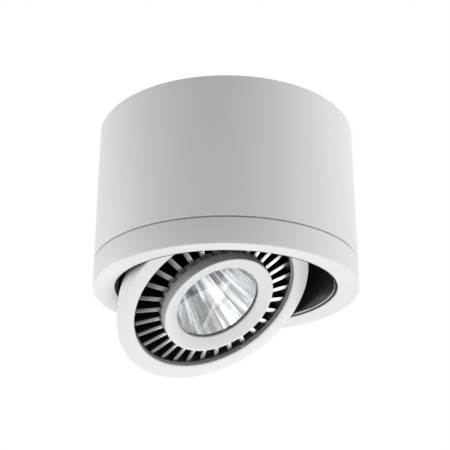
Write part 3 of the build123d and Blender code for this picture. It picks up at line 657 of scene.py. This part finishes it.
def fin_outline(angle):
    """Corners of one fin, as radius and depth, cut back beside the tilt arms."""
    across = abs(math.sin(angle))
    along = abs(math.cos(angle))
    reach = (flat_reach - fin_rear_width / 2 * along) / max(across, 0.1)
    if reach * along > flat_half_length:
        reach = ball_radius
    return [
        (fin_inner, fin_front_inner),
        (fin_outer, fin_front_outer),
        (fin_outer, rim_front),
        *fin_rear(reach),
        (hub_radius - fin_root, fin_back),
        (hub_radius - fin_root, cavity_floor + 5.0),
        fin_foot,
        (core_outer - core_overlap, core_straight_back),
        (core_outer - core_overlap, lens_ring_back + lens_ring_gap),
        (fin_inner, lens_ring_back + lens_ring_gap),
    ]


def add_mesh(whole, part):
    """Adds a part's mesh to the whole and frees it."""
    mesh = bpy.data.meshes.new("part")
    part.to_mesh(mesh)
    part.free()
    whole.from_mesh(mesh)
    bpy.data.meshes.remove(mesh)


def add_fin(sink, angle):
    """One fin, thinner to the rear, with its front edges broken."""
    fin = bmesh.new()
    outline = [fin.verts.new((radius, 0, depth)) for radius, depth in fin_outline(angle)]
    grown = bmesh.ops.extrude_face_region(fin, geom=[fin.faces.new(outline)])
    far_side = [item for item in grown["geom"] if isinstance(item, bmesh.types.BMVert)]
    for vert in fin.verts:
        back = (vert.co.z - fin_front_inner) / (fin_back - fin_front_inner)
        half = (fin_front_width + (fin_rear_width - fin_front_width) * back) / 2
        vert.co.y = half if vert in far_side else -half
    bmesh.ops.recalc_face_normals(fin, faces=fin.faces)
    at_front = {vert for vert in fin.verts if vert.co.z < fin_front_at(vert.co.x) + 0.01}
    front = [edge for edge in fin.edges if at_front.issuperset(edge.verts)]
    bmesh.ops.bevel(
        fin, geom=front, offset=fin_edge_round, offset_type="OFFSET", affect="EDGES",
        segments=2, profile=0.5, material=-1,
    )
    for face in fin.faces:
        middle = face.calc_center_median()
        faced = middle.z < fin_front_at(middle.x) + 0.9 * fin_edge_round
        face.material_index = FACED if faced else BLACK
    bmesh.ops.rotate(fin, cent=(0, 0, 0), matrix=Matrix.Rotation(angle, 3, "Z"), verts=fin.verts)
    add_mesh(sink, fin)


sink = turned([
    (cavity_radius, core_front, 0.2),
    (core_outer, core_front, 0.8),
    (core_outer, core_straight_back, 0),
    (core_rear_outer, cavity_floor + 2.0, 0),
    (hub_radius + hub_flare, cavity_floor + 6.0, 0),
    (hub_radius, fin_back - hub_edge, 0),
    (hub_radius - hub_edge, fin_back, 0),
    (hub_well_radius + 1.0, fin_back, 0.3),
    (hub_well_radius, fin_back - hub_well_depth, 0.3),
    (0, fin_back - hub_well_depth, 0),
    (0, cavity_floor, 0),
    (cavity_radius, cavity_floor, 0.6),
], closed=False)
rim = turned([
    (rim_front_outer - rim_wall, rim_front, casting_round),
    (rim_front_outer, rim_front, casting_round),
    (rim_back_outer, rim_back, casting_round),
    (rim_back_outer - rim_wall, rim_back, casting_round),
])
add_mesh(sink, rim)
for number in range(fin_count):
    add_fin(sink, (number + 0.5) * math.tau / fin_count)
pad_size = (2 * pad_half_width, flat_reach - pad_inner, pad_depths[1] - pad_depths[0])
for side in (-1, 1):
    pad_middle = (0, side * (flat_reach + pad_inner) / 2, sum(pad_depths) / 2)
    add_block(sink, Matrix.Translation(pad_middle), pad_size)
for angle in ring_screw_angles:
    lug_middle = ring_boss_back + lug_size[2] / 2
    add_block(sink, placed_at(angle, ring_screw_circle - lug_set_in, lug_middle), lug_size)
sink_coats = [black_anodised(), faced_metal()]
sink = finished(sink, "heat_sink_anodised", "head", sink_coats, head_place)
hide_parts("heat_sink")
dressed(zinc, "ring_screws", "tilt_arm_right", "tilt_arm_left", "arm_screws")

# ---------------------------------------------------------------- lens ring
# The white inner ring is turned in aluminium and coated as the can is, and snaps over the
# front of the cup. Its shallow funnel leads in to the glass, and its skirt covers the ends
# of the fins.
aperture_radius = 25.3
lens_ring_front = ring_face - 5.0
lens_ring_wall = 1.4
lens_ring_round = 0.6
lip_thickness = 0.6
lens_radius = 26.2
lens_clearance = 0.2
core_clearance = 0.1
seal_front = 11.2

funnel = turned([
    (aperture_radius, seal_front - lip_thickness, 0.25),
    (lens_ring_outer - lens_ring_wall, lens_ring_front, lens_ring_round),
    (lens_ring_outer, lens_ring_front, lens_ring_round),
    (lens_ring_outer, lens_ring_back, 0.2),
    (core_outer + core_clearance, lens_ring_back, 0),
    (core_outer + core_clearance, core_front - core_clearance, 0),
    (lens_radius + lens_clearance, core_front - core_clearance, 0),
    (lens_radius + lens_clearance, seal_front, 0),
    (aperture_radius, seal_front, 0),
])
funnel = finished(funnel, "lens_ring_coated", "head", [white], head_place)
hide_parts("lens_ring")

# ---------------------------------------------------------------- glass and seal
# A clear glass disc with ground edges lies between the reflector's flange behind it and a
# thin ring of grey silicone in front, whose edge shows as a fine line round the glass.
lens_front = seal_front + 0.5
lens_thickness = 1.8
lens_edge_round = 0.3
seal_inner = aperture_radius - 0.2
seal_round = 0.1


def clear_glass():
    """Clear float glass with a trace of green."""
    coat, tree, shader = finish_named(
        "clear glass", Transmission_Weight=1.0, IOR=1.45, Roughness=0.0,
    )
    smear = speckle(tree, 14.0, detail=3.0)
    tinted(tree, shader, smear, (0.97, 0.99, 0.985, 1), (1, 1, 1, 1))
    return coat


glass = turned([
    (0, lens_front, 0),
    (lens_radius, lens_front, lens_edge_round),
    (lens_radius, lens_front + lens_thickness, lens_edge_round),
    (0, lens_front + lens_thickness, 0),
], closed=False, steps=128)
glass = finished(glass, "lens_polished", "head", [clear_glass()], head_place)
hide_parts("lens")

seal = turned([
    (seal_inner, seal_front, seal_round),
    (lens_radius, seal_front, 0),
    (lens_radius, lens_front, 0),
    (seal_inner, lens_front, seal_round),
])
silicone = moulded("silicone seal", (0.52, 0.54, 0.53, 1), 0.45, 0.6, 0.006)
seal = finished(seal, "lens_seal_moulded", "head", [silicone], head_place)
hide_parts("lens_seal")

# ---------------------------------------------------------------- reflector
# The bowl is spun from thin aluminium with long facets that run down to the neck. It is
# finely dimpled and then metallised, so that it throws a soft even beam, and its flange
# stays satin. Its colour is streaked from dark blue-grey to white down the facets: painted
# reflections of a darker room.
reflector_front = lens_front + lens_thickness
reflector_back = 38.5
reflector_wall = 0.8
reflector_mouth = aperture_radius - 0.9
reflector_middle = (19.2, 25.5)
neck_radius = 9.6
facet_count = 36
BOWL_STEPS = 18
FACET_SHARP = math.radians(4)
STREAK_CHANGE = 0.06
MIRROR, SATIN = 0, 1


def worked_out(tree, operation, first, second):
    """Result of a sum on two values, each a number or another node's output."""
    return wired(tree, "ShaderNodeMath", {0: first, 1: second}, operation=operation).outputs[0]


def streaks(tree, place, width, start=0.0):
    """Noise in streaks of a width in millimetres that run straight down the bowl."""
    apart = wired(tree, "ShaderNodeSeparateXYZ", {"Vector": place}).outputs
    turn = worked_out(tree, "ARCTAN2", apart["Y"], apart["X"])
    around = worked_out(tree, "MULTIPLY", turn, reflector_mouth * MM)
    along = worked_out(tree, "MULTIPLY", apart["Z"], STREAK_CHANGE)
    joined = wired(tree, "ShaderNodeCombineXYZ", {"X": around, "Y": along, "Z": start})
    return speckle(tree, width, place=joined.outputs["Vector"])


def metallised():
    """Vacuum metallised aluminium: near mirror, with fine dimples, a faint haze and painted
    reflections.
    """
    coat, tree, shader = finish_named("metallised bowl with painted reflections", Metallic=1.0)
    place = head_coordinates(tree)
    drawn = streaks(tree, place, 0.9)
    reflection_bands = streaks(tree, place, 8.0, start=0.057)
    dimples = speckle(tree, 0.8, detail=1.0, place=place)
    haze = speckle(tree, 5.0, detail=3.0, place=place)
    # Painted reflections: streaks of dark blue-grey in the mirror's colour; the fine ones also give
    # relief.
    fine = ranged(tree, drawn, -0.1, 0.5, 0.38, 0.62)
    broad_reflections = ranged(tree, reflection_bands, -0.15, 1.0, 0.44, 0.54)
    shade = worked_out(tree, "ADD", fine, broad_reflections)
    tinted(tree, shader, shade, (0.24, 0.30, 0.35, 1), (0.97, 0.972, 0.975, 1))
    tree.links.new(ranged(tree, haze, 0.03, 0.09), shader.inputs["Roughness"])
    relief = embossed(tree, shader, drawn, 0.06)
    embossed(tree, shader, dimples, 0.006, under=relief)
    return coat


def satin_flange():
    """The bowl's flange, left satin under the metallising."""
    coat, tree, shader = finish_named("satin flange", Metallic=1.0, Roughness=0.6)
    grain = speckle(tree, 0.5)
    tinted(tree, shader, grain, (0.78, 0.79, 0.80, 1), (0.86, 0.87, 0.87, 1))
    embossed(tree, shader, grain, 0.010)
    return coat


def bowl_curve(offset):
    """Corners down the bowl, on the circle through its mouth, middle and neck."""
    mouth = Vector((reflector_mouth, reflector_front))
    middle = Vector(reflector_middle)
    neck = Vector((neck_radius, reflector_back))
    upper_chord = middle - mouth
    lower_chord = neck - middle
    upper_middle = (mouth + middle) / 2
    lower_middle = (middle + neck) / 2
    across = Matrix.Rotation(math.pi / 2, 2) @ upper_chord
    reach = (lower_middle - upper_middle).dot(lower_chord) / across.dot(lower_chord)
    centre = upper_middle + across * reach
    radius = (mouth - centre).length
    first = math.atan2(*(mouth - centre).yx)
    last = math.atan2(*(neck - centre).yx)
    points = []
    for step in range(BOWL_STEPS + 1):
        angle = first + (last - first) * step / BOWL_STEPS
        points.append((
            centre.x + (radius + offset) * math.cos(angle),
            centre.y + (radius + offset) * math.sin(angle), 0,
        ))
    return points


bowl = turned([
    (lens_radius, reflector_front, 0),
    *bowl_curve(0),
    *reversed(bowl_curve(reflector_wall)),
    (lens_radius, reflector_front + reflector_wall, 0),
], steps=facet_count)
for face in bowl.faces:
    in_front = face.calc_center_median().z < reflector_front + 0.1
    face.material_index = SATIN if in_front and abs(face.normal.z) > 0.99 else MIRROR
bowl_coats = [metallised(), satin_flange()]
bowl = finished(bowl, "reflector_metallised", "head", bowl_coats, head_place, FACET_SHARP)
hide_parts("reflector")

# ---------------------------------------------------------------- light source
# A moulded holder screws the ceramic chip, with its round phosphor field, on the cup's
# floor, with a soft thermal pad under it.
holder_white = moulded("holder plastic", (0.85, 0.85, 0.82, 1), 0.36, 0.6, 0.006)
ceramic = moulded("fired ceramic", (0.88, 0.88, 0.85, 1), 0.30, 0.4, 0.003)
phosphor = moulded("phosphor in silicone", (0.93, 0.70, 0.16, 1), 0.25, 0.3, 0.004)
pad_grey = moulded("thermal pad", (0.36, 0.38, 0.41, 1), 0.70, 0.6, 0.010)
dressed(holder_white, "chip_holder")
dressed(ceramic, "light_source")
dressed(phosphor, "emitter")
dressed(pad_grey, "thermal_pad")
dressed(zinc, "holder_screws")

# ---------------------------------------------------------------- studio
# Plain pale floor well below the lamp and white surroundings. Soft light comes from both
# sides and from below, and the least from the camera's side. A card at the low right is
# seen only in the glass, the metal and the lacquer.
camera = bpy.data.objects.new("camera", bpy.data.cameras.new("camera"))
camera.data.lens = 82.0
camera.data.sensor_width = 36.0
camera.location = (0, -0.548, -0.2891)
camera.rotation_euler = (math.radians(90 + 23.10), 0, math.radians(0.063))
bpy.context.scene.collection.objects.link(camera)
bpy.context.scene.camera = camera
bpy.context.scene.view_settings.view_transform = "Standard"

floor_height = -1.10
floor_size = 12.0
fade_centre = (-0.3, -0.4, floor_height)
fade_start = 0.75
fade_end = 1.0
floor_veil = 0.7
ambient = 0.44

floor_mesh = bmesh.new()
bmesh.ops.create_grid(floor_mesh, x_segments=1, y_segments=1, size=floor_size / 2)
bmesh.ops.translate(floor_mesh, vec=(0, 0, floor_height), verts=floor_mesh.verts)
floor = bpy.data.objects.new("floor", bpy.data.meshes.new("floor"))
floor_mesh.to_mesh(floor.data)
floor_mesh.free()
bpy.context.scene.collection.objects.link(floor)


def shown_directly(tree):
    """1 for the rays that show the surroundings, and 0 for those that only carry light."""
    rays = wired(tree, "ShaderNodeLightPath").outputs
    shown = worked_out(tree, "MAXIMUM", rays["Is Camera Ray"], rays["Is Glossy Ray"])
    return worked_out(tree, "MAXIMUM", shown, rays["Is Transmission Ray"])


def pale_floor():
    """Pale grey floor that fades to white a step away from the lamp.

    The camera sees it under a white veil, so the grey mostly tones the light.
    """
    coat, tree, shader = finish_named("pale floor", Roughness=0.9, Specular_IOR_Level=0.1)
    tinted(tree, shader, speckle(tree, 300.0), (0.50, 0.50, 0.50, 1), (0.53, 0.53, 0.53, 1))
    place = wired(tree, "ShaderNodeTexCoord").outputs["Object"]
    away = wired(tree, "ShaderNodeVectorMath", {0: place, 1: fade_centre}, operation="DISTANCE")
    inputs = {"Value": away.outputs["Value"], "From Min": fade_start, "From Max": fade_end}
    beyond = wired(tree, "ShaderNodeMapRange", inputs, interpolation_type="SMOOTHSTEP")
    fade = worked_out(tree, "MULTIPLY", beyond.outputs["Result"], shown_directly(tree))
    seen = wired(tree, "ShaderNodeLightPath").outputs["Is Camera Ray"]
    fade = worked_out(tree, "MAXIMUM", fade, worked_out(tree, "MULTIPLY", seen, floor_veil))
    white_light = wired(tree, "ShaderNodeEmission", {"Color": (1, 1, 1, 1), "Strength": 1.0})
    inputs = {0: fade, 1: shader.outputs["BSDF"], 2: white_light.outputs["Emission"]}
    mixed = wired(tree, "ShaderNodeMixShader", inputs)
    tree.links.new(mixed.outputs["Shader"], tree.nodes["Material Output"].inputs["Surface"])
    return coat


floor.data.materials.append(pale_floor())

world = bpy.data.worlds.new("studio")
world.use_nodes = True
bpy.context.scene.world = world
background = world.node_tree.nodes["Background"]
inputs = {"Value": shown_directly(world.node_tree), "To Min": ambient, "To Max": 1.0}
level = wired(world.node_tree, "ShaderNodeMapRange", inputs)
background.inputs["Color"].default_value = (1, 1, 1, 1)
world.node_tree.links.new(level.outputs["Result"], background.inputs["Strength"])


def softbox(name, place, size, power, spread=180, mirrored=True, lighting=True):
    """Square soft light aimed at the lamp, with a grid that limits its spread in degrees.

    One that isn't mirrored shows in no glass or metal, and one that isn't lighting only there.
    """
    lamp = bpy.data.lights.new(name, "AREA")
    lamp.shape = "SQUARE"
    lamp.size = size
    lamp.energy = power
    lamp.spread = math.radians(spread)
    thing = bpy.data.objects.new(name, lamp)
    thing.location = place
    thing.rotation_euler = (lamp_middle - Vector(place)).to_track_quat("-Z", "Y").to_euler()
    thing.visible_camera = False
    thing.visible_glossy = mirrored
    thing.visible_diffuse = lighting
    thing.visible_transmission = mirrored
    bpy.context.scene.collection.objects.link(thing)


lamp_middle = Vector((0, 0, can_low.z))
softbox("left softbox", (-1.1, 0.15, -0.15), size=0.9, power=2.1, spread=100)
softbox("right softbox", (1.1, 0.0, 0.45), size=0.9, power=2.8, spread=100, mirrored=False)
softbox("low right card", (0.72, 0.51, -0.68), size=0.6, power=4.4, lighting=False)
softbox("low softbox", (0.1, -0.1, -1.0), size=0.9, power=7.0, mirrored=False)
